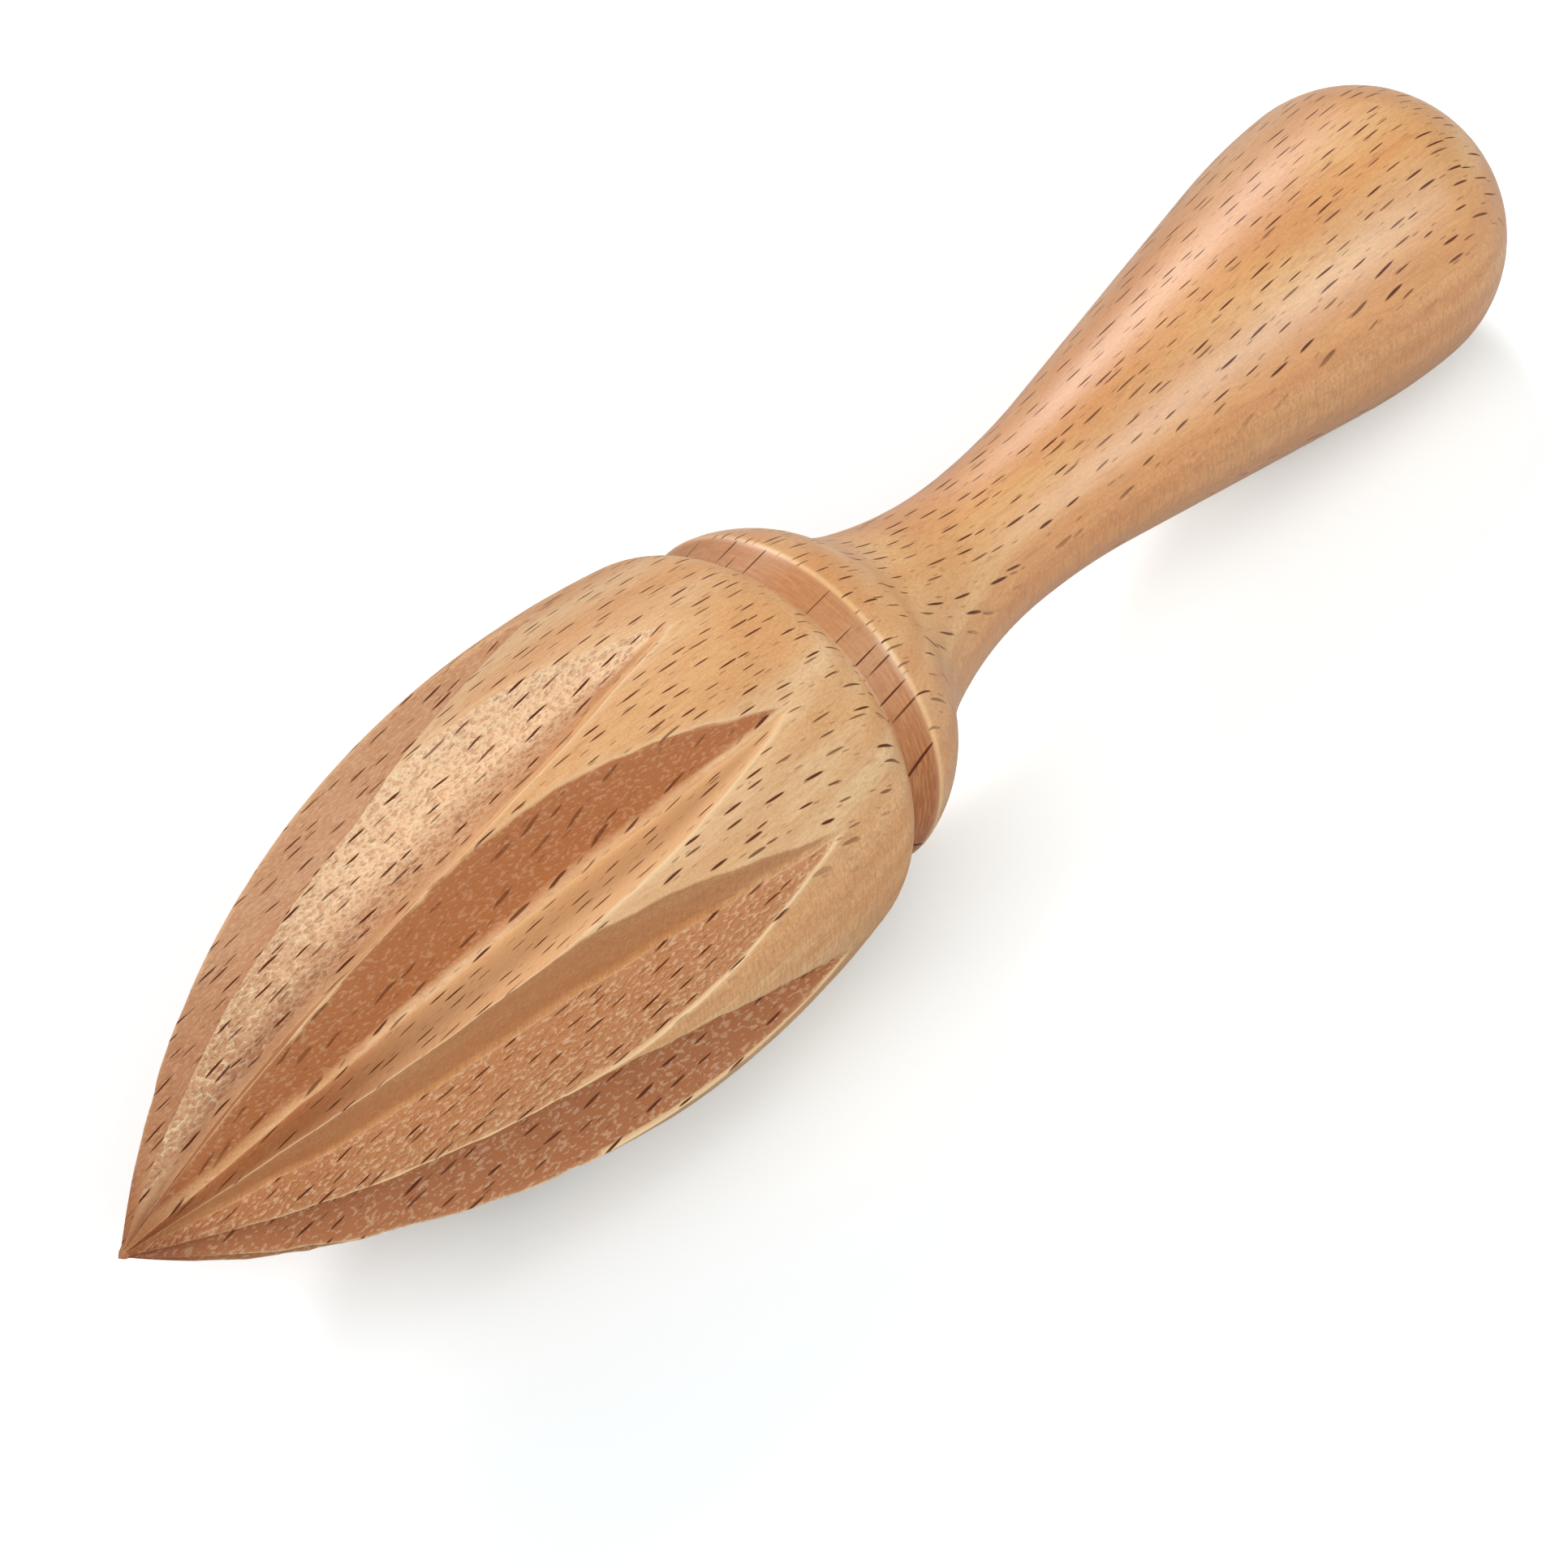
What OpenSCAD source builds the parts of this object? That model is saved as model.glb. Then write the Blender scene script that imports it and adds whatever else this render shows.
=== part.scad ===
// Wooden citrus reamer, turned and fluted from one blank of beech.
//
// Stations are measured along the turning axis from the tip, and radii from
// that axis. The reamer is drawn lying at rest on a table: the bulb of the
// handle and the two edges of its lowest flute touch the table, z = 0.
// The tip points to -X, and the origin is under the middle of the whole.

/* [Overall] */
// Length from the tip to the end of the handle
length = 170; // [164:1:176]

/* [Head] */
// Diameter at the widest ring of the head
head_d = 40; // [39:0.5:42]
// Station of the widest ring
head_widest = 56; // [54:0.5:58]
// Radius of the arc that runs back from the widest ring
head_rear_arc = 92; // [84:1:100]
// Station where the rounding of the back edge starts
head_round_start = 73; // [72:0.5:74]
// Radius of the rounding of the back edge
head_round_r = 7; // [6:0.5:8]
// Station of the back edge, where the groove starts
head_end = 77; // [76.5:0.5:77.5]

/* [Flutes] */
// Number of flutes cut round the head
flute_count = 10; // [9:1:11]
// Angle between the two faces of a flute
flute_angle = 88; // [84:1:92]
// Lean of the cutter, which makes one face wide and the other narrow
flute_lean = 10; // [6:1:12]
// Depth that the ridges between flutes lie under the turned surface
ridge_drop = 0.15; // [0.1:0.05:0.3]
// Least radius of a flute's root, which leaves the fine point of the tip
tip_core = 0.35; // [0.3:0.05:0.6]
// Station where the cutter starts to lift out
lift_start = 34; // [32:1:36]
// Station where the lifting cutter settles on its straight way out
lift_end = 50.5; // [48:0.5:53]
// Rise of the flute's root for each millimetre of that straight way out
lift_slope = 0.3; // [0.28:0.005:0.34]
// Turn of the flutes that sets both edges of the lowest one on the table
flute_turn = 0.8; // [0:0.1:2]

/* [Collar] */
// Diameter at the floor of the groove between head and collar
groove_d = 30; // [28.5:0.5:31]
// Width of the floor of the groove
groove_w = 0.6; // [0.4:0.1:1]
// Diameter of the collar at its rim
collar_d = 31.8; // [31.4:0.2:33]
// Station of the rim, where the front band meets the rounded back
collar_rim = 81; // [80:0.5:82]
// Slope of the collar's back just behind the rim, in degrees
collar_back_slope = 12; // [8:1:16]
// Radius of the collar's rounded back
collar_back_r = 12; // [11:0.5:13]
// Radius of the hollow between collar and neck
collar_hollow_r = 14; // [12:0.5:16]

/* [Handle] */
// Diameter at the waist of the neck
neck_d = 13.4; // [12.6:0.2:14.4]
// Slope where the hollow behind the collar eases into the neck, in degrees
neck_ease_slope = 19.5; // [17:0.5:22]
// Radius of the neck's long curve on the collar side
neck_front_arc = 42; // [38:1:46]
// Radius of the neck's long curve on the handle side
neck_rear_arc = 76; // [70:1:84]
// Diameter of the bulb, which ends in half a ball
bulb_d = 26.2; // [25:0.2:28]
// Radius of the swell that leads into the bulb
bulb_swell_arc = 64; // [56:1:72]

/* [Hidden] */
$fn = 64;

// Arcs are drawn in steps of at most this length and this angle.
arc_step = 2.6;
arc_turn = 6;

head_r = head_d / 2;
bulb_r = bulb_d / 2;
neck_r = neck_d / 2;
rim_r = collar_d / 2;

// The ogive is the arc that starts in the tip and is level at the widest ring.
ogive_arc = (head_widest ^ 2 + head_r ^ 2) / (2 * head_r);

tip_angle = atan(head_widest / (ogive_arc - head_r));

// The back edge's rounding is tangent to the rear arc.
round_angle = asin((head_round_start - head_widest) / head_rear_arc);
round_x = head_round_start - head_round_r * sin(round_angle);
round_y = head_r - head_rear_arc
    + (head_rear_arc - head_round_r) * cos(round_angle);

// The collar's back, the hollow and the neck's front arc are tangent in turn.
// This is the slope in degrees where back and hollow meet.
hollow_slope = acos((collar_back_r * cos(collar_back_slope)
    + collar_hollow_r * cos(neck_ease_slope)
    + neck_front_arc * (1 - cos(neck_ease_slope))
    - (rim_r - neck_r)) / (collar_back_r + collar_hollow_r));
back_x = collar_rim - collar_back_r * sin(collar_back_slope);
back_y = rim_r - collar_back_r * cos(collar_back_slope);
hollow_start = back_x + collar_back_r * sin(hollow_slope);
hollow_x = hollow_start + collar_hollow_r * sin(hollow_slope);
hollow_y = back_y + (collar_back_r + collar_hollow_r) * cos(hollow_slope);
hollow_end = hollow_x - collar_hollow_r * sin(neck_ease_slope);
waist_x = hollow_end + neck_front_arc * sin(neck_ease_slope);

// The straight taper is tangent to the neck's rear arc and to the swell.
bulb_x = length - bulb_r;
arc_sum = neck_rear_arc + bulb_swell_arc;
rise = neck_r + arc_sum - bulb_r;
run = bulb_x - waist_x;
taper_slope = atan(run / rise) - acos(arc_sum / norm([run, rise]));
taper_start = waist_x + neck_rear_arc * sin(taper_slope);
taper_end = bulb_x - bulb_swell_arc * sin(taper_slope);
taper_start_r = neck_r + neck_rear_arc * (1 - cos(taper_slope));
taper_end_r = bulb_r - bulb_swell_arc * (1 - cos(taper_slope));

// Each face of a flute stands at its own angle to the radius of the root.
wide_angle = flute_angle / 2 + flute_lean;
narrow_angle = flute_angle / 2 - flute_lean;
pitch = 360 / flute_count;

// A ridge stands where a narrow face meets the next flute's wide face, at
// this angle from the narrow face's root and at this multiple of its radius.
ridge_angle = atan(
    sin(narrow_angle) * (sin(wide_angle) - sin(wide_angle - pitch))
    / (sin(narrow_angle) * cos(wide_angle - pitch)
        + sin(wide_angle) * cos(narrow_angle)));
ridge_ratio = sin(narrow_angle) / sin(narrow_angle - ridge_angle);

// Radius of the turned head at a station, before it is fluted.
function turned_r(x) =
    let (arc = x < head_widest ? ogive_arc : head_rear_arc)
    head_r - arc + sqrt(arc ^ 2 - (x - head_widest) ^ 2);

// Root of a flute under the ogive, where flutes meet in ridges.
function ridged_root(x) = max(tip_core, (turned_r(x) - ridge_drop) / ridge_ratio);

// Slope of that root where the cutter starts to lift.
lift_start_slope = (head_widest - lift_start)
    / sqrt(ogive_arc ^ 2 - (head_widest - lift_start) ^ 2) / ridge_ratio;

// Radius of a flute's root at a station: it follows the ogive, then its slope
// grows evenly over the lift, and then it runs straight out of the wood.
function root_r(x) =
    let (lift = lift_end - lift_start,
         s = min(max(x - lift_start, 0), lift))
    ridged_root(min(x, lift_start)) + lift_start_slope * s
        + (lift_slope - lift_start_slope) * s ^ 2 / (2 * lift)
        + lift_slope * max(x - lift_end, 0);

// Angle from a flute's root to its edge in the turned surface, for one face.
function edge_angle(x, face_angle) =
    face_angle - asin(sin(face_angle) * min(1, root_r(x) / turned_r(x)));

// Angle between straight down and the nearest wood that the flutes leave.
function clear_angle(x) = max(0, min(edge_angle(x, wide_angle) - flute_turn,
                                     edge_angle(x, narrow_angle) + flute_turn));

// Tilt that sets a point under the axis level with the bottom of the bulb.
function tilt_for(x) =
    let (drop = turned_r(x) * cos(clear_angle(x)), back = bulb_x - x)
    acos(bulb_r / norm([back, drop])) - atan(back / drop);
rest_tilt = max([for (x = [lift_start : 0.25 : head_round_start]) tilt_for(x)]);

// Points on an arc round a centre, angles counted from +x, both ends included.
function arc(x, y, r, from, to) =
    let (turn = abs(to - from),
         steps = ceil(max(turn / arc_turn, turn * PI / 180 * r / arc_step)))
    [for (i = [0 : steps]) let (a = from + (to - from) * i / steps)
        [x + r * cos(a), y + r * sin(a)]];

// Half outline of the turned blank, station along x and radius along y. An
// arc that bulges has its centre below it, and a hollow one above it.
module outline() {
    polygon(concat(
        arc(head_widest, head_r - ogive_arc, ogive_arc, 90 + tip_angle, 90),
        arc(head_widest, head_r - head_rear_arc, head_rear_arc,
            90, 90 - round_angle),
        arc(round_x, round_y, head_round_r,
            90 - round_angle, acos((head_end - round_x) / head_round_r)),
        [[head_end, groove_d / 2], [head_end + groove_w, groove_d / 2]],
        arc(back_x, back_y, collar_back_r,
            90 - collar_back_slope, 90 - hollow_slope),
        arc(hollow_x, hollow_y, collar_hollow_r,
            -90 - hollow_slope, -90 - neck_ease_slope),
        arc(waist_x, neck_r + neck_front_arc, neck_front_arc,
            -90 - neck_ease_slope, -90),
        arc(waist_x, neck_r + neck_rear_arc, neck_rear_arc,
            -90, -90 + taper_slope),
        arc(bulb_x, bulb_r - bulb_swell_arc, bulb_swell_arc,
            90 + taper_slope, 90),
        arc(bulb_x, 0, bulb_r, 90, 0)));
}

// The turned blank, its axis along x and its tip at the origin.
module blank() {
    rotate([0, 90, 0]) rotate_extrude() mirror([1, -1, 0]) outline();
}

// What one face of the cutter clears: all that lies above the face. The face
// is the flute's root drawn out straight at an angle to the root's radius.
module face_cut(face_angle) {
    reach = head_widest + head_round_start;
    linear_extrude(height = 4 * head_d, center = true)
        polygon(concat(
            [[-2, tip_core * sin(face_angle)]],
            [for (x = [0 : 2 : lift_end], x2 = [min(x, lift_end)])
                [x2, root_r(x2) * sin(face_angle)]],
            [[reach, root_r(reach) * sin(face_angle)],
             [reach, 3 * head_d], [-2, 3 * head_d]]));
}

// One flute, its root above the axis and its wide face towards +y.
module flute() {
    intersection() {
        rotate([180 - wide_angle, 0, 0]) face_cut(wide_angle);
        rotate([narrow_angle, 0, 0]) face_cut(narrow_angle);
    }
}

// The whole reamer: head, collar and handle are one piece of wood.
module reamer() {
    color("burlywood")
    translate([(bulb_x * cos(rest_tilt) - bulb_r) / 2, 0, bulb_r])
    rotate([0, rest_tilt, 0])
    translate([-bulb_x, 0, 0])
    difference() {
        blank();
        for (i = [0 : flute_count - 1])
            rotate([flute_turn + i * pitch, 0, 0]) flute();
    }
}

reamer();
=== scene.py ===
"""Wooden citrus reamer, lying on a pale table under a soft studio light.

The reamer is one turned and fluted piece of beech. Its skin is worked out here
station by station along the turning axis, with the same sizes as the solid
part, and adds what the solid leaves out: softened arrises, the slight waver
of a hand-held cutter, and the wood. Sizes are in millimetres until the skin is
put on the table, and in metres from there on.
"""

import bpy
import numpy as np
from mathutils import Matrix, Vector


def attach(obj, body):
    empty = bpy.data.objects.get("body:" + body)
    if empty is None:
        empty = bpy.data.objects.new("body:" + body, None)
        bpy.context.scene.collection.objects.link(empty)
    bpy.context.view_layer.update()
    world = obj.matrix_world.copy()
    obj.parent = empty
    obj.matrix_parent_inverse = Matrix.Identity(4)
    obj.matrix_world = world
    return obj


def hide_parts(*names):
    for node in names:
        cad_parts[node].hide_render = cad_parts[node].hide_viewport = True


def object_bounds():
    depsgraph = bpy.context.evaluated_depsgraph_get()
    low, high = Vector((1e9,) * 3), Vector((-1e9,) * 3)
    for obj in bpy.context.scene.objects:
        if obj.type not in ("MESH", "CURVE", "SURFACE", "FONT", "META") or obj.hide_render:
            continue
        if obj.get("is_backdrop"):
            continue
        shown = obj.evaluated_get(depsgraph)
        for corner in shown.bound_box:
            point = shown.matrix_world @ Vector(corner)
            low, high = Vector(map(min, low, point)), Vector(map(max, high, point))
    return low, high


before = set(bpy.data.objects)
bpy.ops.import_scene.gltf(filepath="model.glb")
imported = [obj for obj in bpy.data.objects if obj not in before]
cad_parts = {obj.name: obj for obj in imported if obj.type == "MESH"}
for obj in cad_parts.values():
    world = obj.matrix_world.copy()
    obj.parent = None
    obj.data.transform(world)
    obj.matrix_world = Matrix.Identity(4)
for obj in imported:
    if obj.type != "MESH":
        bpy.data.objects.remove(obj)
solid_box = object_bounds()

# Sizes of the turned blank, in millimetres. Stations are measured along the
# turning axis from the tip, radii from the axis, and slopes in degrees.
LENGTH = 170.0
HEAD_R = 20.0
HEAD_WIDEST = 56.0
HEAD_REAR_ARC = 92.0
HEAD_ROUND_START = 73.0
HEAD_ROUND_R = 7.0
HEAD_END = 77.0
LIP_R = 0.3

# The flutes: each has a root, and a wide and a narrow face at their own angles
# to the radius of the root. A ridge stands at the ridge ratio times the radius
# of the roots beside it.
FLUTES = 10
WIDE_ANGLE = np.radians(54.0)
NARROW_ANGLE = np.radians(34.0)
PITCH = 2 * np.pi / FLUTES
COLUMNS_NARROW, COLUMNS_TOP, COLUMNS_WIDE = 7, 8, 9
COLUMNS = COLUMNS_NARROW + COLUMNS_TOP + COLUMNS_WIDE
FIRST_ROOT = np.radians(90.8)
RIDGE_RATIO = 1.5667
RIDGE_DROP = 0.15
TIP_CORE = 0.35
LIFT_START = 34.0
LIFT_END = 50.5
LIFT_SLOPE = 0.3
RUN_OUT = 66.5
FLUTES_END = 72.0

# The groove and the collar.
GROOVE_R = 15.0
GROOVE_W = 0.6
GROOVE_CORNER_R = 0.15
RIM_X = 81.0
RIM_R = 15.9
RIM_SOFT_R = 1.4
BAND_FRONT = HEAD_END + 0.7
BAND_BACK = RIM_X - 0.40
BACK_SLOPE = 12.0
BACK_R = 12.0
HOLLOW_R = 14.0

# The neck and the handle.
NECK_R = 6.7
NECK_EASE = 19.5
NECK_FRONT_ARC = 42.0
NECK_REAR_ARC = 76.0
BULB_R = 13.1
BULB_SWELL_ARC = 64.0

# What follows from these sizes, and the tilt at which the reamer lies.
OGIVE_ARC = (HEAD_WIDEST ** 2 + HEAD_R ** 2) / (2 * HEAD_R)
BULB_X = LENGTH - BULB_R
REST_TILT = np.radians(4.0)


def sin(degrees):
    """Sine of an angle in degrees."""
    return np.sin(np.radians(degrees))


def cos(degrees):
    """Cosine of an angle in degrees."""
    return np.cos(np.radians(degrees))


def bow(x, y, r, start, end, step):
    """An arc: the points x + r cos a, y + r sin a, for angles a from start to
    end in degrees, no more than step millimetres apart."""
    count = max(3, int(np.ceil(abs(np.radians(end - start)) * r / step)) + 1)
    a = np.radians(np.linspace(start, end, count))
    return np.stack([x + r * np.cos(a), y + r * np.sin(a)], 1)


def straight(x1, y1, x2, y2, count):
    """A straight run of count evenly spaced points."""
    t = np.linspace(0, 1, count)[:, None]
    return (1 - t) * np.array([x1, y1]) + t * np.array([x2, y2])


def turned_head(x):
    """Radius of the head before fluting: an arc that is level at the widest
    ring and starts in the tip, and a flatter arc behind the ring."""
    r = np.where(x < HEAD_WIDEST, OGIVE_ARC, HEAD_REAR_ARC)
    return HEAD_R - r + np.sqrt(np.maximum(r ** 2 - (x - HEAD_WIDEST) ** 2, 0))


def blank_outline():
    """Half outline of the turned blank as (station, radius) points: tangent
    arcs from the tip over head, groove, collar, neck and bulb, with the sharp
    arrises of the solid softened by small arcs."""
    tip = np.concatenate([[0.0, 0.12, 0.28, 0.5, 0.75],
                          np.arange(1.0, 4, 0.25),
                          np.arange(4.0, HEAD_ROUND_START, 0.38)])
    head = np.stack([tip, turned_head(tip)], 1)

    round_a = np.degrees(np.arcsin((HEAD_ROUND_START - HEAD_WIDEST)
                                   / HEAD_REAR_ARC))
    round_x = HEAD_ROUND_START - HEAD_ROUND_R * sin(round_a)
    round_y = (HEAD_R - HEAD_REAR_ARC
               + (HEAD_REAR_ARC - HEAD_ROUND_R) * cos(round_a))
    lip_x = HEAD_END - LIP_R
    lip_y = round_y + np.sqrt((HEAD_ROUND_R - LIP_R) ** 2
                              - (lip_x - round_x) ** 2)
    lip_a = np.degrees(np.arctan2(lip_y - round_y, lip_x - round_x))

    floor_x = HEAD_END + GROOVE_W
    band_a = np.degrees(np.arctan2(RIM_R - GROOVE_R, RIM_X - floor_x))
    half = (band_a + BACK_SLOPE) / 2
    mid_a = 90 + (band_a - BACK_SLOPE) / 2
    soft_x = RIM_X - RIM_SOFT_R / cos(half) * cos(mid_a)
    soft_y = RIM_R - RIM_SOFT_R / cos(half) * sin(mid_a)
    corner_y = GROOVE_R + GROOVE_CORNER_R
    past_rim = 88.0 - BACK_SLOPE

    meet = np.degrees(np.arccos(
        (BACK_R * cos(BACK_SLOPE) + HOLLOW_R * cos(NECK_EASE)
         + NECK_FRONT_ARC * (1 - cos(NECK_EASE)) - (RIM_R - NECK_R))
        / (BACK_R + HOLLOW_R)))
    back_x = RIM_X - BACK_R * sin(BACK_SLOPE)
    back_y = RIM_R - BACK_R * cos(BACK_SLOPE)
    hollow_x = back_x + (BACK_R + HOLLOW_R) * sin(meet)
    hollow_y = back_y + (BACK_R + HOLLOW_R) * cos(meet)
    waist_x = hollow_x + (NECK_FRONT_ARC - HOLLOW_R) * sin(NECK_EASE)

    arcs = NECK_REAR_ARC + BULB_SWELL_ARC
    run, rise = BULB_X - waist_x, NECK_R + arcs - BULB_R
    taper = np.degrees(np.arctan2(run, rise)
                       - np.arccos(arcs / np.hypot(run, rise)))

    path = np.concatenate([
        head,
        bow(round_x, round_y, HEAD_ROUND_R, 90 - round_a, lip_a, 0.35),
        bow(lip_x, lip_y, LIP_R, lip_a, 0, 0.07),
        straight(HEAD_END, lip_y - 0.1, HEAD_END, corner_y, 4),
        bow(HEAD_END + GROOVE_CORNER_R, corner_y, GROOVE_CORNER_R,
            180, 270, 0.07),
        bow(floor_x - 0.05, corner_y, GROOVE_CORNER_R,
            270, 270 + band_a, 0.1),
        straight(floor_x + GROOVE_CORNER_R, GROOVE_R + 0.05,
                 BAND_BACK, RIM_R - 0.105, 12),
        bow(soft_x, soft_y, RIM_SOFT_R, 90 + band_a, 90 - BACK_SLOPE, 0.09),
        bow(back_x, back_y, BACK_R, past_rim, 90 - meet, 0.4),
        bow(hollow_x, hollow_y, HOLLOW_R, -90 - meet, -90 - NECK_EASE, 0.45),
        bow(waist_x, NECK_R + NECK_FRONT_ARC, NECK_FRONT_ARC,
            -90 - NECK_EASE, -90, 0.9),
        bow(waist_x, NECK_R + NECK_REAR_ARC, NECK_REAR_ARC,
            -90, -90 + taper, 1.0),
        straight(waist_x + NECK_REAR_ARC * sin(taper),
                 NECK_R + NECK_REAR_ARC * (1 - cos(taper)),
                 BULB_X - BULB_SWELL_ARC * sin(taper),
                 BULB_R - BULB_SWELL_ARC * (1 - cos(taper)), 28),
        bow(BULB_X, BULB_R - BULB_SWELL_ARC, BULB_SWELL_ARC,
            90 + taper, 90, 0.9),
        bow(BULB_X, 0, BULB_R, 90, 0, 0.75)])
    step = np.hypot(*np.diff(path, axis=0).T)
    return path[np.concatenate([[True], step > 0.02])]


# Every flute was cut by hand, so each is its own. These are the differences,
# flute by flute from the one on top: its turn in degrees, how many more
# millimetres of wood its two faces leave at the front and at the rear, and
# how much deeper its tail runs.
FLUTE_TURN = (-0.52, 0.13, -0.45, 0.11, 0.1, 0.0, 0.1, -0.3, 0.2, 0.53)
WIDE_FRONT = (0.38, 0.17, 0.08, -0.22, 0.0, 0.0, 0.0, 0.1, 0.15, 0.46)
WIDE_REAR = (0.56, 0.0, 0.02, -0.03, 0.0, 0.0, 0.0, 0.1, 0.3, 0.72)
NARROW_FRONT = (-0.20, 0.15, 0.32, 0.10, 0.0, 0.0, 0.0, 0.1, -0.2, -0.58)
NARROW_REAR = (-0.64, -0.67, 0.60, 0.15, 0.0, 0.0, 0.1, -0.2, 0.1, 0.43)
TAIL = (0.80, 0.70, 0.93, -0.20, 0.1, 0.0, 0.1, 0.4, 0.2, -0.92)


def smooth_step(x, start, end):
    """0 before start, 1 after end, and 3t2 - 2t3 between."""
    t = np.clip((x - start) / (end - start), 0, 1)
    return t * t * (3 - 2 * t)


def root_radius(x):
    """Radius of a flute's root: under the ridges at first, then lifting with
    an evenly growing slope, and then straight out of the wood."""
    under = lambda s: np.maximum(TIP_CORE, (turned_head(s) - RIDGE_DROP)
                                 / RIDGE_RATIO)
    d = HEAD_WIDEST - LIFT_START
    first = d / np.sqrt(OGIVE_ARC ** 2 - d ** 2) / RIDGE_RATIO
    lift = LIFT_END - LIFT_START
    s = np.clip(x - LIFT_START, 0, lift)
    return (under(np.minimum(x, LIFT_START)) + first * s
            + (LIFT_SLOPE - first) * s ** 2 / (2 * lift)
            + LIFT_SLOPE * np.maximum(x - LIFT_END, 0))


def waver(x, seed, longest, size):
    """How far the cutter wavers at each station, one column for each flute:
    a sum of four sine waves with random phases, each shorter and weaker."""
    rng = np.random.default_rng(seed)
    out = np.zeros((len(x), FLUTES))
    for octave in range(4):
        wave = longest / 1.9 ** octave * rng.uniform(0.8, 1.25, FLUTES)
        phase = rng.uniform(0, 2 * np.pi, FLUTES)
        out += size / 1.7 ** octave * np.sin(
            2 * np.pi * x[:, None] / wave + phase)
    return out * smooth_step(x, 2, 16)[:, None]


def softest(a, b, soft):
    """The lower of two radii, with the corner between them rounded off: the
    log of a sum of exponentials."""
    low = np.minimum(a, b)
    return low - soft * np.log1p(np.exp(-np.abs(a - b) / soft))


def crowd(count):
    """Fractions from 0 towards 1 that crowd at both ends: (1 - cos) / 2."""
    return (1 - np.cos(np.pi * np.arange(count) / count)) / 2


def reamer_skin():
    """Points of the skin on a grid of stations by angles, and how much each
    is on a wide face, a narrow face or the collar's band.

    Each face of a flute is a plane at distance p from the axis, so its radius
    is p / sin(face angle - angle from the root). A flute is the higher of its
    two faces, and the skin is the lowest of the turned radius and the flutes.
    The columns follow roots, edges and ridges, so these stay crisp."""
    outline = blank_outline()
    x, turned = outline[:, 0], outline[:, 1]
    fluted = x < FLUTES_END
    shake = fluted[:, None].astype(float)
    each = lambda table: np.array(table)[None, :]
    front = smooth_step(x, 8, 40)[:, None] * shake
    rear = smooth_step(x, 38, 64)[:, None] * shake
    tail = (np.maximum(x - 57, 0) ** 2 / 100)[:, None] * shake
    root = np.where(fluted, root_radius(np.minimum(x, FLUTES_END)),
                    99.0)[:, None]
    root = root - tail * each(TAIL) + shake * waver(x, 3, 26, 0.04)
    p_wide = (root * np.sin(WIDE_ANGLE) + front * each(WIDE_FRONT)
              + rear * each(WIDE_REAR) + shake * waver(x, 5, 9, 0.05))
    p_narrow = (root * np.sin(NARROW_ANGLE) + front * each(NARROW_FRONT)
                + rear * each(NARROW_REAR) + shake * waver(x, 8, 12, 0.03))
    turn = np.radians(each(FLUTE_TURN))
    pitch = PITCH + np.roll(turn, -1, axis=1) - turn
    r = np.maximum(turned, 1e-4)[:, None]

    root_turn = np.arctan2(
        p_narrow * np.sin(WIDE_ANGLE) - p_wide * np.sin(NARROW_ANGLE),
        p_wide * np.cos(NARROW_ANGLE) + p_narrow * np.cos(WIDE_ANGLE))
    edge_wide = WIDE_ANGLE - np.arcsin(np.minimum(1, p_wide / r))
    edge_narrow = NARROW_ANGLE - np.arcsin(np.minimum(1, p_narrow / r))
    p_next = np.roll(p_wide, -1, axis=1)
    ridge = np.arctan2(
        p_next * np.sin(NARROW_ANGLE)
        - p_narrow * np.sin(WIDE_ANGLE - pitch),
        p_narrow * np.cos(WIDE_ANGLE - pitch)
        + p_next * np.cos(NARROW_ANGLE))
    # Columns leave a flat crest on each ridge, and off the flutes they spread
    # evenly.
    blunt = np.minimum(0.1 / r, 0.03)
    spread = 1 - (smooth_step(x, 0.4, 1.6)
                  * (1 - smooth_step(x, RUN_OUT - 1.0, 74)))[:, None]
    open_narrow = spread * PITCH * COLUMNS_NARROW / COLUMNS
    open_wide = spread * PITCH * COLUMNS_WIDE / COLUMNS
    narrow_end = np.maximum(np.minimum(edge_narrow, ridge - blunt),
                            0.004 + open_narrow)
    wide_end = np.maximum(np.minimum(np.roll(edge_wide, -1, axis=1),
                                     pitch - ridge - blunt),
                          0.004 + open_wide)
    start = -root_turn * fluted[:, None] * (1 - spread)
    next_start = np.roll(start, -1, axis=1)

    a, b = start[..., None], narrow_end[..., None]
    c, d = (pitch - wide_end)[..., None], (pitch + next_start)[..., None]
    angle = np.concatenate([a + (b - a) * crowd(COLUMNS_NARROW),
                            b + (c - b) * crowd(COLUMNS_TOP),
                            c + (d - c) * crowd(COLUMNS_WIDE)], axis=2)

    def cut(p_w, p_n, past):
        """Radius of one flute at an angle past its root, rounded there by the
        cutter's worn corner, and how far apart its two faces lie."""
        wide = p_w[..., None] / np.sin(np.clip(WIDE_ANGLE + past, 0.02, 3.1))
        narrow = p_n[..., None] / np.sin(
            np.clip(NARROW_ANGLE - past, 0.02, 3.1))
        soft = np.minimum(0.62, 0.06 * p_w[..., None])
        return -softest(-wide, -narrow, soft), np.abs(wide - narrow)

    here, gap_here = cut(p_wide, p_narrow, angle)
    ahead, gap_ahead = cut(p_next, np.roll(p_narrow, -1, axis=1),
                           angle - pitch[..., None])
    blank = np.broadcast_to(turned[:, None, None], angle.shape)
    flute = softest(here, ahead, 0.05)
    skin = np.where(fluted[:, None, None], softest(flute, blank, 0.035), blank)
    skin = np.where(blank < 0.6, np.minimum(blank, skin + 0.02), skin)
    skin = np.maximum(skin, 0)

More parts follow.
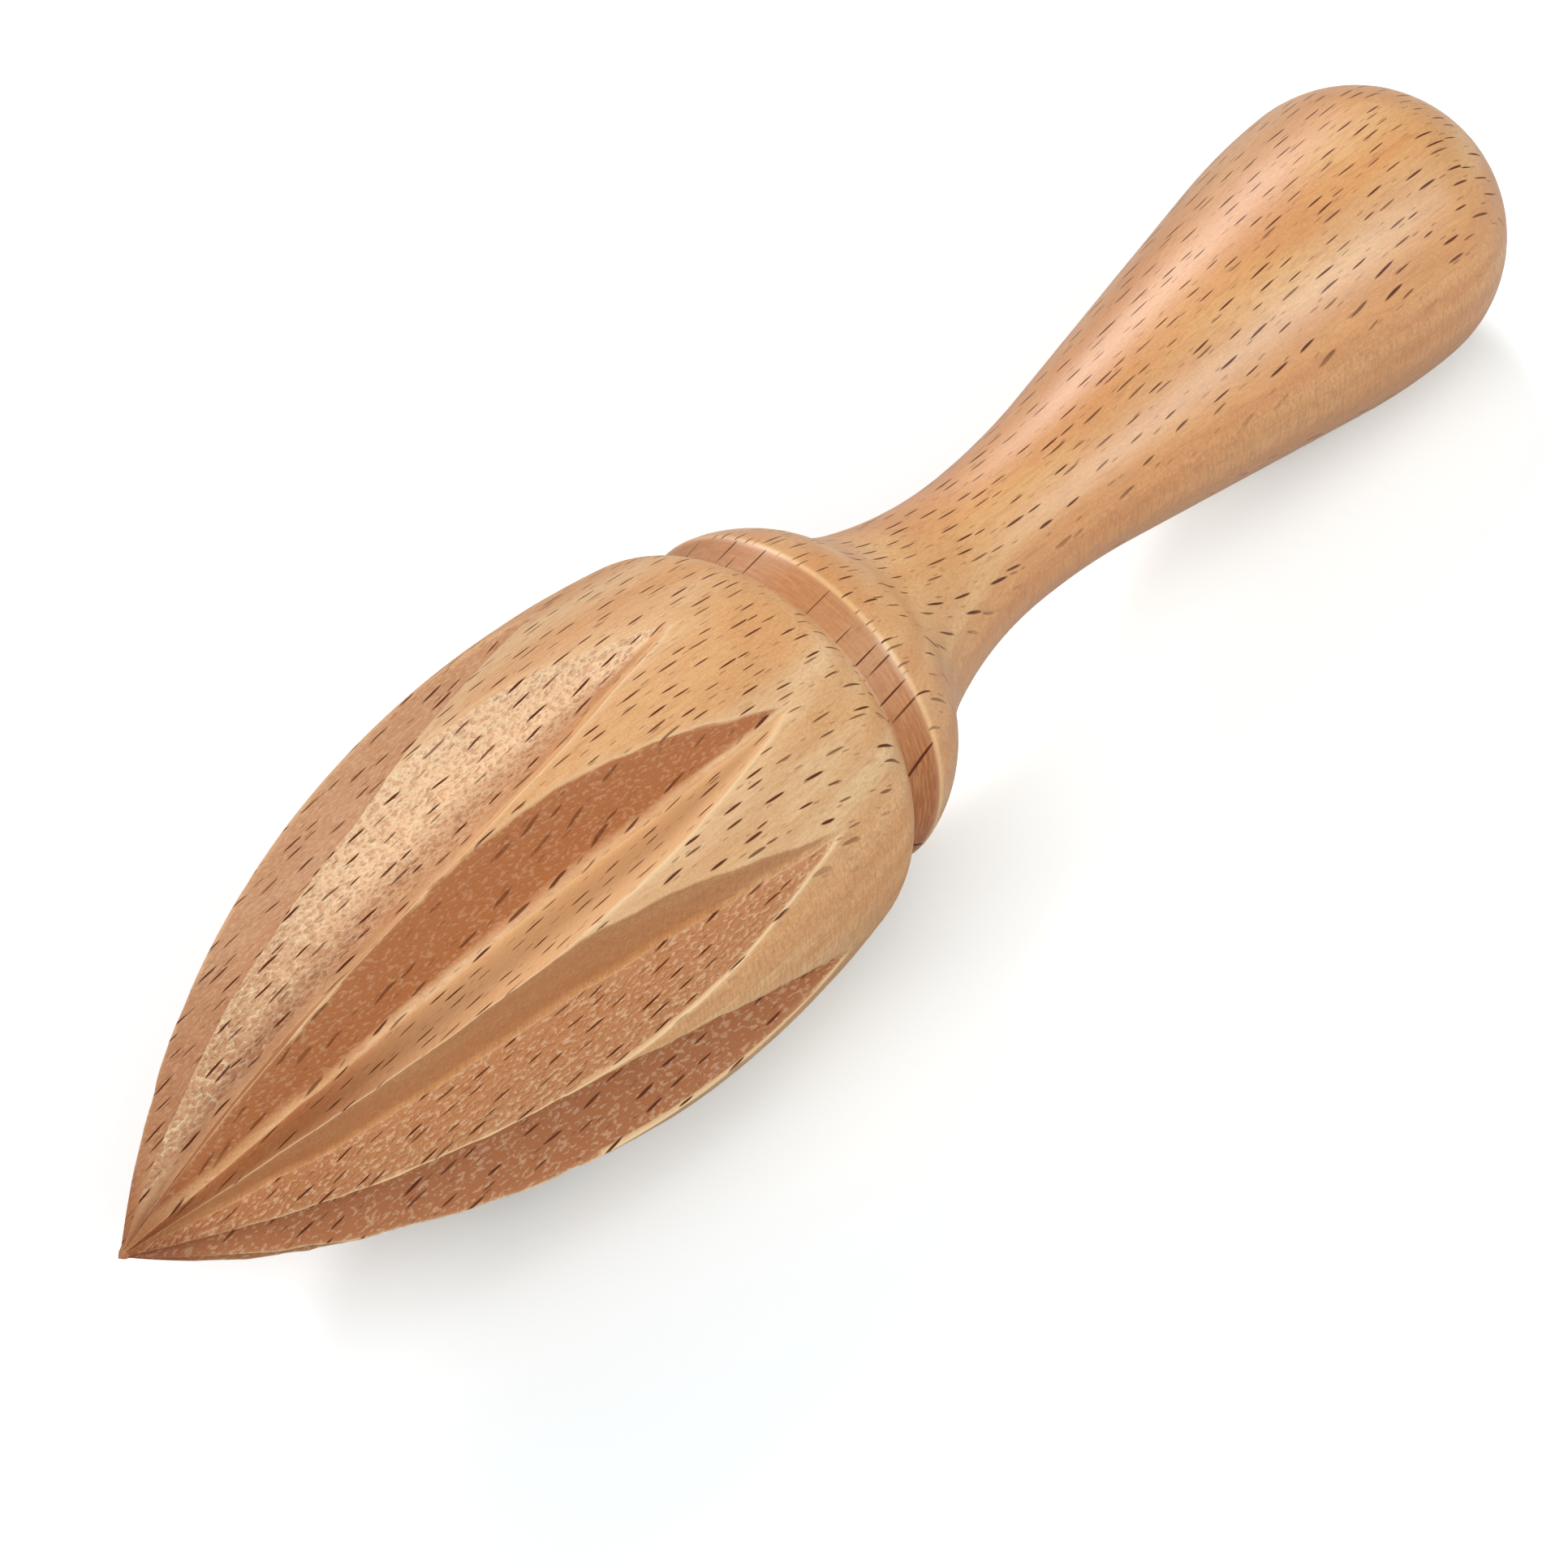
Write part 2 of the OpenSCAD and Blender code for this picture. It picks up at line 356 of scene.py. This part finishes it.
    # Where each finish lies: clear of the turned surface, on either face, in a
    # root, along an edge, a ridge or the rim with wear and a painted highlight,
    # and on the collar's band.
    clear = smooth_step(blank - flute, 0.02, 0.12)
    on_narrow = clear * (here < ahead)
    in_root = 1 - smooth_step(np.minimum(gap_here, gap_ahead), 0.7, 1.7)
    on_wide = clear * (ahead <= here) * (1 - 0.85 * in_root)
    edge_wear_and_highlight = np.exp(-np.abs(blank - flute)
                       / np.where(blank > flute, 0.10, 0.30))
    edge_wear_and_highlight = edge_wear_and_highlight * np.where(here < ahead, 1.0, 0.3)
    edge_wear_and_highlight = np.maximum(edge_wear_and_highlight,
                           clear * np.exp(-np.abs(here - ahead) / 0.16))
    edge_wear_and_highlight = edge_wear_and_highlight * (smooth_step(x, 3, 12)
                             * (1 - smooth_step(x, 64, 70)))[:, None, None]
    # A painted highlight line all round the collar's rim.
    edge_wear_and_highlight = edge_wear_and_highlight + 0.7 * np.exp(
        -((x - RIM_X) / 0.3) ** 2)[:, None, None]
    band = smooth_step(x, BAND_FRONT, BAND_FRONT + 0.2) * (
        1 - smooth_step(x, BAND_BACK, BAND_BACK + 0.25))
    band = np.broadcast_to(band[:, None, None], angle.shape)
    flute_number = np.broadcast_to(np.arange(FLUTES)[None, :, None],
                                   angle.shape) + (ahead <= here)
    around = (angle + FIRST_ROOT + turn[..., None]
              + PITCH * np.arange(FLUTES)[None, :, None])
    flat = lambda v: np.ascontiguousarray(v.reshape(len(x), -1))
    around, skin = flat(around), flat(skin)
    points = np.stack([np.broadcast_to(x[:, None], skin.shape),
                       skin * np.cos(around), skin * np.sin(around)], 2)
    return (points, flat(on_wide), flat(on_narrow), flat(band),
            flat(edge_wear_and_highlight), flat(flute_number))


def closed_faces(rows, columns):
    """Corners of the faces of a grid that closes round its columns and ends
    in a point at its first and its last row, as loops and face sizes."""
    i, j = np.meshgrid(np.arange(1, rows - 2), np.arange(columns),
                       indexing="ij")
    at = lambda row, column: 1 + (row - 1) * columns + column % columns
    quads = np.stack([at(i, j), at(i, j + 1), at(i + 1, j + 1), at(i + 1, j)],
                     2).reshape(-1, 4)
    k = np.arange(columns)
    last = 1 + (rows - 2) * columns
    nose = np.stack([np.zeros_like(k), at(1, k + 1), at(1, k)], 1)
    tail = np.stack([np.full_like(k, last), at(rows - 2, k),
                     at(rows - 2, k + 1)], 1)
    loops = np.concatenate([quads[:, ::-1].ravel(), nose[:, ::-1].ravel(),
                            tail[:, ::-1].ravel()])
    sizes = np.concatenate([np.full(len(quads), 4), np.full(2 * columns, 3)])
    return loops, sizes


def shell_normals(points):
    """Outward directions on the grid: the cross product of the differences
    along the two ways of the grid, made one long."""
    along = np.gradient(points, axis=0)
    round_ = np.roll(points, -1, axis=1) - np.roll(points, 1, axis=1)
    n = np.cross(round_, along)
    n /= np.maximum(np.linalg.norm(n, axis=2, keepdims=True), 1e-9)
    return n


def lay_on_table(points):
    """Turns the axis down at the handle by the rest tilt, and sets the bulb
    on the table with the origin under the middle. Metres from here on."""
    x = points[..., 0] - BULB_X
    c, s = np.cos(REST_TILT), np.sin(REST_TILT)
    middle = (BULB_X * c - BULB_R) / 2
    return np.stack([x * c + points[..., 2] * s + middle, points[..., 1],
                     points[..., 2] * c - x * s + BULB_R], -1) / 1000


# Direction of the wood's rays round the axis: dark ray ends show where the
# skin faces this way, and a plain fibrous figure a quarter turn from it. The
# grain slopes a little across the rays.
RAY_ANGLE = np.radians(98.0)
GRAIN_SLOPE = -0.04

# Tones of the wood.
PALE_WOOD = (0.84, 0.55, 0.31, 1)
ORANGE_WOOD = (0.79, 0.42, 0.19, 1)
RING_TONE = (0.60, 0.25, 0.085, 1)
FIBRE_TONE = (0.55, 0.24, 0.088, 1)
DARK_FIBRE = (0.46, 0.19, 0.066, 1)
FIGURE_TONE = (0.47, 0.235, 0.115, 1)
PLAIN_TINT = (1.0, 0.92, 0.85, 1)
MOTTLE_TONE = (0.62, 0.29, 0.115, 1)
BRIGHT_SPECK = (0.92, 0.62, 0.38, 1)
CUT_BROWN_AND_SHADE = (0.42, 0.135, 0.042, 1)
CUT_PALE = (0.98, 0.66, 0.42, 1)
TORN_DARK_AND_PIT_SHADE = (0.48, 0.16, 0.05, 1)
TORN_BRIGHT_AND_GLINT = (0.98, 0.72, 0.47, 1)
SMOOTH_CUT_AND_LIGHT = (0.94, 0.54, 0.26, 1)
BAND_BROWN_AND_SHADE = (0.40, 0.13, 0.042, 1)
BAND_MARKS = (0.72, 0.34, 0.15, 1)
RUBBED_EDGE_AND_HIGHLIGHT = (0.95, 0.68, 0.40, 1)
OILED_TINT = (1.0, 0.83, 0.60, 1)
TIP_TINT = (0.62, 0.46, 0.38, 1)
RAY_END_TONE = (0.115, 0.021, 0.002, 1)

# The table's grey, and what is added to it where the camera sees it.
TABLE_GREY = (0.55, 0.55, 0.55, 1)
TABLE_LIFT = (0.71, 0.711, 0.716, 1)


def timber_place(points):
    """Place in the wood, in millimetres: along the grain, across the rays and
    along the rays. The grain runs with the turning axis, but for a slight
    slope."""
    c, s = np.cos(RAY_ANGLE), np.sin(RAY_ANGLE)
    return np.stack([points[..., 0],
                     -s * points[..., 1] + c * points[..., 2]
                     + GRAIN_SLOPE * points[..., 0],
                     c * points[..., 1] + s * points[..., 2]], -1)


class Bench:
    """A node tree under work. Each method but put adds a node, and all but
    put and add give its output."""

    def __init__(self, material):
        self.nodes = material.node_tree.nodes
        self.links = material.node_tree.links

    def put(self, socket, value):
        """Links another node's output to a socket, or sets its value."""
        if isinstance(value, bpy.types.NodeSocket):
            self.links.new(value, socket)
        else:
            socket.default_value = value

    def add(self, kind, **settings):
        """A node of a kind, with its settings."""
        node = self.nodes.new(kind)
        for name, value in settings.items():
            setattr(node, name, value)
        return node

    def attribute(self, name, output="Fac"):
        """What the skin carries under a name."""
        return self.add("ShaderNodeAttribute",
                        attribute_name=name).outputs[output]

    def math(self, operation, a, b=0.0, c=0.0, clamp=False):
        """Arithmetic on two or three values."""
        node = self.add("ShaderNodeMath", operation=operation,
                        use_clamp=clamp)
        for socket, value in zip(node.inputs, (a, b, c)):
            self.put(socket, value)
        return node.outputs[0]

    def stretch(self, vector, scale, shift=(0, 0, 0)):
        """A place times scale plus shift, which sets a pattern's grain."""
        node = self.add("ShaderNodeVectorMath", operation="MULTIPLY_ADD")
        self.put(node.inputs[0], vector)
        node.inputs[1].default_value = scale
        self.put(node.inputs[2], shift)
        return node.outputs[0]

    def noise(self, vector, detail, roughness=0.55, output="Fac"):
        """Smooth noise about one unit coarse."""
        node = self.add("ShaderNodeTexNoise", noise_dimensions="3D")
        self.put(node.inputs["Vector"], vector)
        node.inputs["Scale"].default_value = 1.0
        node.inputs["Detail"].default_value = detail
        node.inputs["Roughness"].default_value = roughness
        return node.outputs[output]

    def cells(self, vector):
        """Heart and random tint of the cell round each place."""
        node = self.add("ShaderNodeTexVoronoi", voronoi_dimensions="2D",
                        feature="F1")
        self.put(node.inputs["Vector"], vector)
        node.inputs["Scale"].default_value = 1.0
        node.inputs["Randomness"].default_value = 0.8
        return node.outputs["Position"], node.outputs["Color"]

    def span(self, value, from_low, from_high, to_low=0.0, to_high=1.0,
             kind="SMOOTHSTEP"):
        """A value taken from one range to another, and held at its ends."""
        node = self.add("ShaderNodeMapRange", interpolation_type=kind)
        for name, v in (("Value", value), ("From Min", from_low),
                        ("From Max", from_high), ("To Min", to_low),
                        ("To Max", to_high)):
            self.put(node.inputs[name], v)
        return node.outputs["Result"]

    def blend(self, share, first, second, way="MIX"):
        """The second colour laid over the first by a share."""
        node = self.add("ShaderNodeMix", data_type="RGBA", blend_type=way)
        self.put(node.inputs[0], share)
        self.put(node.inputs[6], first)
        self.put(node.inputs[7], second)
        return node.outputs[2]

    def bump(self, height, strength, distance, under=None):
        """Relief that tilts the shading, over the relief that is under it."""
        node = self.add("ShaderNodeBump")
        self.put(node.inputs["Height"], height)
        self.put(node.inputs["Strength"], strength)
        node.inputs["Distance"].default_value = distance
        if under is not None:
            self.links.new(under, node.inputs["Normal"])
        return node.outputs["Normal"]


def ray_ends(bench, timber, spacing, half, shift):
    """Dark dashes where the rays end in the skin, one in the heart of each
    cell of the spacing. A dash fades out at an ellipse: its offset from the
    heart, over the half length and half width in half, has a length of one,
    give or take a quarter from cell to cell."""
    place = bench.stretch(timber, (1 / spacing[0], 1 / spacing[1], 0), shift)
    heart, tint = bench.cells(place)
    away = bench.add("ShaderNodeVectorMath", operation="SUBTRACT")
    bench.put(away.inputs[0], place)
    bench.put(away.inputs[1], heart)
    away = bench.stretch(away.outputs[0],
                         (spacing[0] / half[0], spacing[1] / half[1], 0))
    reach = bench.add("ShaderNodeVectorMath", operation="LENGTH")
    bench.put(reach.inputs[0], away)
    pick = bench.add("ShaderNodeSeparateColor")
    bench.links.new(tint, pick.inputs[0])
    edge = bench.math("MULTIPLY_ADD", pick.outputs[0], 0.5, 0.75)
    soft = bench.math("MULTIPLY", edge, 0.62)
    mask = bench.span(reach.outputs["Value"], edge, soft)
    depth = bench.span(pick.outputs[1], 0.0, 0.6, 0.7, 1.0, "LINEAR")
    return bench.math("MULTIPLY", mask, depth)


def beech():
    """Lightly oiled beech, cut by lathe and cutter."""
    material = bpy.data.materials.new("oiled beech")
    material.use_nodes = True
    bench = Bench(material)
    shader = material.node_tree.nodes["Principled BSDF"]

    timber = bench.attribute("timber", "Vector")
    facing = bench.attribute("ray_facing")
    wide = bench.attribute("wide_face")
    narrow = bench.attribute("narrow_face")
    band = bench.attribute("collar_band")
    brown_and_shade = bench.attribute("cut_brown_and_shade")
    coarse = bench.attribute("cut_coarse")
    cut = bench.math("ADD", wide, narrow, clamp=True)
    edge_wear_and_highlight = bench.attribute("edge_wear_and_highlight")
    polish = bench.attribute("polish")

    # Slow drift of tone, growth rings, and fine fibres.
    drift = bench.noise(bench.stretch(timber, (0.014, 0.14, 0.14)), 2.0)
    warp = bench.noise(bench.stretch(timber, (0.02, 0.1, 0.1)), 2.0)
    split = bench.add("ShaderNodeSeparateXYZ")
    bench.links.new(timber, split.inputs[0])
    ring_place = bench.math("MULTIPLY_ADD", warp, 6.0, split.outputs[2])
    ring = bench.math("SINE", bench.math("MULTIPLY", ring_place, 1.9))
    fibre = bench.noise(bench.stretch(timber, (0.30, 4.2, 4.2)), 4.0, 0.65)
    line = bench.noise(bench.stretch(timber, (0.16, 2.4, 2.4), (5, 3, 8)),
                       2.0, 0.6)
    figure = bench.noise(bench.stretch(timber, (4.5, 4.5, 0.5)), 3.0, 0.65)
    mottle = bench.noise(bench.stretch(timber, (0.5, 1.2, 1.2)), 3.0, 0.6)
    speck = bench.noise(bench.stretch(timber, (3.5, 6.5, 6.5)), 2.0, 0.8)

    wood = bench.blend(bench.span(drift, 0.36, 0.62), PALE_WOOD, ORANGE_WOOD)
    wood = bench.blend(bench.span(ring, -1, 1, 0.0, 0.34), wood, RING_TONE)
    wood = bench.blend(bench.span(fibre, 0.35, 0.7, 0.0, 0.42), wood,
                       FIBRE_TONE)
    wood = bench.blend(bench.span(line, 0.58, 0.72, 0.0, 0.4), wood,
                       DARK_FIBRE)
    plain = bench.span(facing, 0.25, 0.62, 1.0, 0.0)
    wood = bench.blend(
        bench.math("MULTIPLY", plain, bench.span(figure, 0.4, 0.66, 0, 0.6)),
        wood, FIGURE_TONE)
    wood = bench.blend(plain, wood, PLAIN_TINT, "MULTIPLY")
    wood = bench.blend(bench.span(mottle, 0.3, 0.75, 0.0, 0.18), wood,
                       MOTTLE_TONE)
    wood = bench.blend(bench.span(speck, 0.54, 0.70, 0.0, 0.3), wood,
                       BRIGHT_SPECK)
    wood = bench.blend(bench.span(speck, 0.46, 0.30, 0.0, 0.3), wood,
                       DARK_FIBRE)

    # Faces as they left the cutter: browner (partly painted shade) or paler, and
    # fuzzy with dark and bright torn fibres, with painted glints on the bright
    # specks and painted shade in the dark pits.
    fuzz = bench.noise(bench.stretch(timber, (1.6, 3.4, 3.4)), 1.5, 0.6)
    rough_cut = bench.math("MULTIPLY", cut, coarse)
    # Browned cut faces, darkened further with painted shade in the flutes.
    wood = bench.blend(bench.math("MULTIPLY", cut, brown_and_shade), wood, CUT_BROWN_AND_SHADE)
    light_cut = bench.math("SUBTRACT", 1.0, brown_and_shade, clamp=True)
    wood = bench.blend(
        bench.math("MULTIPLY", rough_cut,
                   bench.math("MULTIPLY", light_cut, 0.75)),
        wood, CUT_PALE)
    wood = bench.blend(
        bench.math("MULTIPLY", rough_cut,
                   bench.span(fuzz, 0.49, 0.36, 0, 0.38)),
        wood, TORN_DARK_AND_PIT_SHADE)
    wood = bench.blend(
        bench.math("MULTIPLY", rough_cut,
                   bench.span(fuzz, 0.51, 0.66, 0, 0.65)),
        wood, TORN_BRIGHT_AND_GLINT)

    # Cleanly cut narrow faces are a smooth orange, brightened further with
    # painted light where they lie in the flutes' shade.
    smooth_and_lit = bench.math("MULTIPLY", narrow, light_cut)
    wood = bench.blend(bench.math("MULTIPLY", smooth_and_lit, 0.75), wood,
                       SMOOTH_CUT_AND_LIGHT)

    # The collar's band is end grain, browned, and darker on its lower side with
    # painted shade, with fine turning marks round it and dark lines across it.
    marks = bench.noise(bench.stretch(timber, (4.5, 0.5, 0.5)), 3.0, 0.65)
    wood = bench.blend(bench.attribute("band_brown_and_shade"), wood, BAND_BROWN_AND_SHADE)
    wood = bench.blend(
        bench.math("MULTIPLY", band, bench.span(marks, 0.42, 0.66, 0, 0.4)),
        wood, BAND_MARKS)

    # Edges are rubbed paler, and a painted highlight runs along the
    # arrises, the ridges and the collar's rim.
    wood = bench.blend(bench.math("MULTIPLY", edge_wear_and_highlight, 0.75), wood,
                       RUBBED_EDGE_AND_HIGHLIGHT)

    # The oiled handle and collar are deeper in tone, and so is the tip, whose
    # end grain drinks the oil.
    wood = bench.blend(polish, wood, OILED_TINT, "MULTIPLY")
    wood = bench.blend(bench.attribute("end_grain"), wood, TIP_TINT,
                       "MULTIPLY")

    # Ray ends, large and small, wander a little out of line. Those on the
    # band cross it straight.
    sway = bench.noise(bench.stretch(timber, (0.09, 0.22, 0.22)), 2.0, 0.5,
                       "Color")
    wander = bench.stretch(sway, (2.5, 0.7, 0), timber)
    large = ray_ends(bench, wander, (4.3, 1.2), (1.12, 0.088), (3.1, 7.7, 0))
    small = ray_ends(bench, wander, (3.1, 1.3), (0.50, 0.055), (9.2, 1.9, 0))
    dash = bench.math("MAXIMUM", large, bench.math("MULTIPLY", small, 0.5))
    dash = bench.math("MULTIPLY", dash, bench.span(facing, 0.2, 0.55))
    crossing = ray_ends(bench, timber, (6.5, 1.5), (2.0, 0.07), (0.4, 5.1, 0))
    dash = bench.blend(band, dash, crossing)
    wood = bench.blend(dash, wood, RAY_END_TONE)

    # The oiled parts have a satin coat, and torn faces are dull.
    bench.put(shader.inputs["Base Color"], wood)
    shader.inputs["Specular IOR Level"].default_value = 0.22
    gloss = bench.math("MULTIPLY_ADD", rough_cut, 0.25, 0.48)
    gloss = bench.math("MULTIPLY_ADD", dash, 0.2, gloss)
    bench.put(shader.inputs["Roughness"], gloss)
    bench.put(shader.inputs["Coat Weight"], bench.math(
        "MULTIPLY", polish, bench.span(dash, 0.0, 1.0, 1.0, 0.3, "LINEAR")))
    shader.inputs["Coat Roughness"].default_value = 0.45
    shader.inputs["Coat IOR"].default_value = 1.80

    grain = bench.bump(fibre, 0.12, 0.00005)
    torn = bench.bump(fuzz, rough_cut, 0.0005, grain)
    sunk = bench.bump(bench.math("MULTIPLY", dash, -1.0), 0.25, 0.00006, torn)
    bench.links.new(sunk, shader.inputs["Normal"])
    brushed = bench.bump(fibre, 0.35, 0.00005)
    bench.links.new(brushed, shader.inputs["Coat Normal"])
    return material


# How browned and how coarse each flute's wide and narrow face came off the
# cutter, from the first flute round. The browning also holds painted shade,
# most on the fourth flute, which lies in shade under the ridge before it.
WIDE_BROWN_AND_SHADE = (0.0, 0.95, 0.45, 1.0, 0.7, 0.5, 0.7, 0.6, 0.6, 0.35)
NARROW_BROWN_AND_SHADE = (0.0, 0.0, 0.85, 1.0, 0.6, 0.5, 0.6, 0.5, 0.5, 0.3)
WIDE_COARSE = (1.0, 0.25, 0.1, 0.3, 0.8, 0.7, 0.6, 0.7, 0.5, 0.3)
NARROW_COARSE = (0.15, 0.12, 0.6, 0.4, 0.5, 0.5, 0.6, 0.4, 0.6, 0.3)


def make_reamer(material):
    """The whole reamer as one closed skin, lying at rest. Its points carry
    their place in the wood and the share of each finish."""
    points, wide, narrow, band, edge_wear_and_highlight, number = reamer_skin()
    rows, columns = wide.shape
    normals = shell_normals(points)
    facing = np.abs(normals[..., 1] * np.cos(RAY_ANGLE)
                    + normals[..., 2] * np.sin(RAY_ANGLE))
    of = lambda table: np.array(table)[number.round().astype(int) % FLUTES]
    x = points[..., 0]
    # Faces are browner towards the tip. The band gets painted shade, darker on
    # its lower side, round to the camera's right.
    fore = 1 - smooth_step(x, 14, 42)
    # The browning share also paints shade into the flutes.
    brown_and_shade = (wide * np.maximum(of(WIDE_BROWN_AND_SHADE), 0.6 * fore)
             + narrow * np.maximum(of(NARROW_BROWN_AND_SHADE), 0.9 * fore))
    around = np.degrees(np.arctan2(points[..., 2], points[..., 1])) % 360
    band_brown_and_shade = band * (0.6 + 0.4 * smooth_step(around, 130, 180))
    coarse = wide * of(WIDE_COARSE) + narrow * of(NARROW_COARSE)
    end_grain = 1 - smooth_step(x, 0.5, 9)
    polish = (0.08 + 0.77 * smooth_step(x, RIM_X - 0.8, RIM_X - 0.4)
              + 0.15 * smooth_step(x, 92, 104)
              + 0.75 * smooth_step(x, HEAD_END - 0.1, HEAD_END)
              * (1 - smooth_step(x, BAND_FRONT, BAND_FRONT + 0.2)))

    def gather(grid):
        """One row for the nose, the grid's inner rows, one for the tail."""
        inner = grid[1:-1].reshape((rows - 2) * columns, -1)
        return np.concatenate([grid[0, :1].reshape(1, -1), inner,
                               grid[-1, :1].reshape(1, -1)])

    placed = gather(lay_on_table(points))
    loops, sizes = closed_faces(rows, columns)
    mesh = bpy.data.meshes.new("reamer skin")
    mesh.vertices.add(len(placed))
    mesh.vertices.foreach_set("co", placed.ravel())
    mesh.loops.add(len(loops))
    mesh.loops.foreach_set("vertex_index", loops)
    mesh.polygons.add(len(sizes))
    mesh.polygons.foreach_set("loop_start",
                              np.concatenate([[0], np.cumsum(sizes)[:-1]]))
    mesh.polygons.foreach_set("use_smooth", np.ones(len(sizes), bool))
    mesh.update(calc_edges=True)
    mesh.validate()

    timber = mesh.attributes.new("timber", "FLOAT_VECTOR", "POINT")
    timber.data.foreach_set(
        "vector", gather(timber_place(points)).astype(np.float32).ravel())
    for name, grid in (("ray_facing", facing), ("wide_face", wide),
                       ("narrow_face", narrow), ("collar_band", band),
                       ("band_brown_and_shade", band_brown_and_shade), ("cut_brown_and_shade", brown_and_shade),
                       ("cut_coarse", coarse), ("edge_wear_and_highlight", edge_wear_and_highlight),
                       ("polish", polish), ("end_grain", end_grain)):
        layer = mesh.attributes.new(name, "FLOAT", "POINT")
        layer.data.foreach_set("value",
                               gather(grid).astype(np.float32).ravel())
    mesh.materials.append(material)
    piece = bpy.data.objects.new("reamer_skin", mesh)
    bpy.context.scene.collection.objects.link(piece)
    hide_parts("reamer")
    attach(piece, "root")
    return piece


def pale_table():
    """A wide pale table. What the camera sees of it is brighter, well into
    white, so that only the reamer's own shadow shows on it."""
    material = bpy.data.materials.new("pale table")
    material.use_nodes = True
    bench = Bench(material)
    tree = material.node_tree
    shader = tree.nodes["Principled BSDF"]
    shader.inputs["Base Color"].default_value = TABLE_GREY
    shader.inputs["Roughness"].default_value = 0.9
    shader.inputs["Specular IOR Level"].default_value = 0.1
    seen = bench.add("ShaderNodeLightPath").outputs["Is Camera Ray"]
    lift = bench.add("ShaderNodeBsdfDiffuse")
    bench.put(lift.inputs["Color"],
              bench.blend(seen, (0, 0, 0, 1), TABLE_LIFT))
    total = bench.add("ShaderNodeAddShader")
    bench.links.new(shader.outputs[0], total.inputs[0])
    bench.links.new(lift.outputs[0], total.inputs[1])
    bench.links.new(total.outputs[0],
                    tree.nodes["Material Output"].inputs["Surface"])
    half = 3.0
    mesh = bpy.data.meshes.new("table top")
    mesh.from_pydata([(-half, -half, 0), (half, -half, 0), (half, half, 0),
                      (-half, half, 0)], [], [(0, 1, 2, 3)])
    mesh.materials.append(material)
    table = bpy.data.objects.new("table_top", mesh)
    bpy.context.scene.collection.objects.link(table)
    table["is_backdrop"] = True


def soft_box(name, round_axis, along, distance, size, power,
             colour=(1, 1, 1)):
    """A soft box that faces the reamer, from round_axis degrees round the
    turning axis and along degrees towards the handle. Its distance and size
    are in metres and its power in watts."""
    a, b = np.radians(round_axis), np.radians(along)
    way = Vector((np.sin(b), np.cos(b) * np.cos(a), np.cos(b) * np.sin(a)))
    lamp = bpy.data.lights.new(name, "AREA")
    lamp.shape = "RECTANGLE"
    lamp.size, lamp.size_y = size
    lamp.energy = power
    lamp.color = colour
    box = bpy.data.objects.new(name, lamp)
    box.location = way * distance + Vector((0, 0, 0.02))
    box.rotation_euler = way.to_track_quat("Z", "X").to_euler()
    bpy.context.scene.collection.objects.link(box)


def room_light(strength):
    """Even white light from all round; the camera sees it as white."""
    world = bpy.data.worlds.new("studio")
    bpy.context.scene.world = world
    world.use_nodes = True
    nodes, links = world.node_tree.nodes, world.node_tree.links
    ground = nodes["Background"]
    ground.inputs["Color"].default_value = (1, 1, 1, 1)
    path = nodes.new("ShaderNodeLightPath")
    level = nodes.new("ShaderNodeMapRange")
    links.new(path.outputs["Is Camera Ray"], level.inputs["Value"])
    level.inputs["To Min"].default_value = strength
    level.inputs["To Max"].default_value = 1.0
    links.new(level.outputs["Result"], ground.inputs["Strength"])


# The camera, in metres and radians, with its lens in millimetres.
CAMERA_PLACE = (-0.3969, -0.3902, 0.5527)
CAMERA_TARGET = (-0.0128, -0.0067, 0.02)
CAMERA_ROLL = -0.1317
CAMERA_LENS = 216.1


def camera():
    """The camera of the photograph: far off with a long lens, looking down
    along the reamer's near side."""
    data = bpy.data.cameras.new("camera")
    data.sensor_width = 36.0
    data.lens = CAMERA_LENS
    data.clip_start, data.clip_end = 0.05, 20
    eye = bpy.data.objects.new("camera", data)
    place, target = Vector(CAMERA_PLACE), Vector(CAMERA_TARGET)
    turn = (place - target).to_track_quat("Z", "Y").to_matrix().to_4x4()
    roll = Matrix.Rotation(CAMERA_ROLL, 4, "Z")
    eye.matrix_world = Matrix.Translation(place) @ turn @ roll
    bpy.context.scene.collection.objects.link(eye)
    bpy.context.scene.camera = eye


make_reamer(beech())
pale_table()
room_light(0.185)
# A compact key makes the soft shadow, and a long cool strip the right-hand
# highlight on the handle. The left and front boxes fill.
soft_box("key", 48.5, 23, 1.0, (0.20, 0.34), 3.2)
soft_box("left", 34, 4, 1.0, (0.45, 0.90), 2.5)
soft_box("right strip", 146, 12, 1.0, (0.24, 1.00), 6.4, (0.82, 0.97, 1.0))
soft_box("front", 110, -30, 1.2, (1.15, 1.05), 6.6)
camera()
bpy.context.scene.view_settings.view_transform = "Standard"

plain = lambda box: [[float(v) for v in corner] for corner in box]
{"solid": plain(solid_box), "visual": plain(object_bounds())}
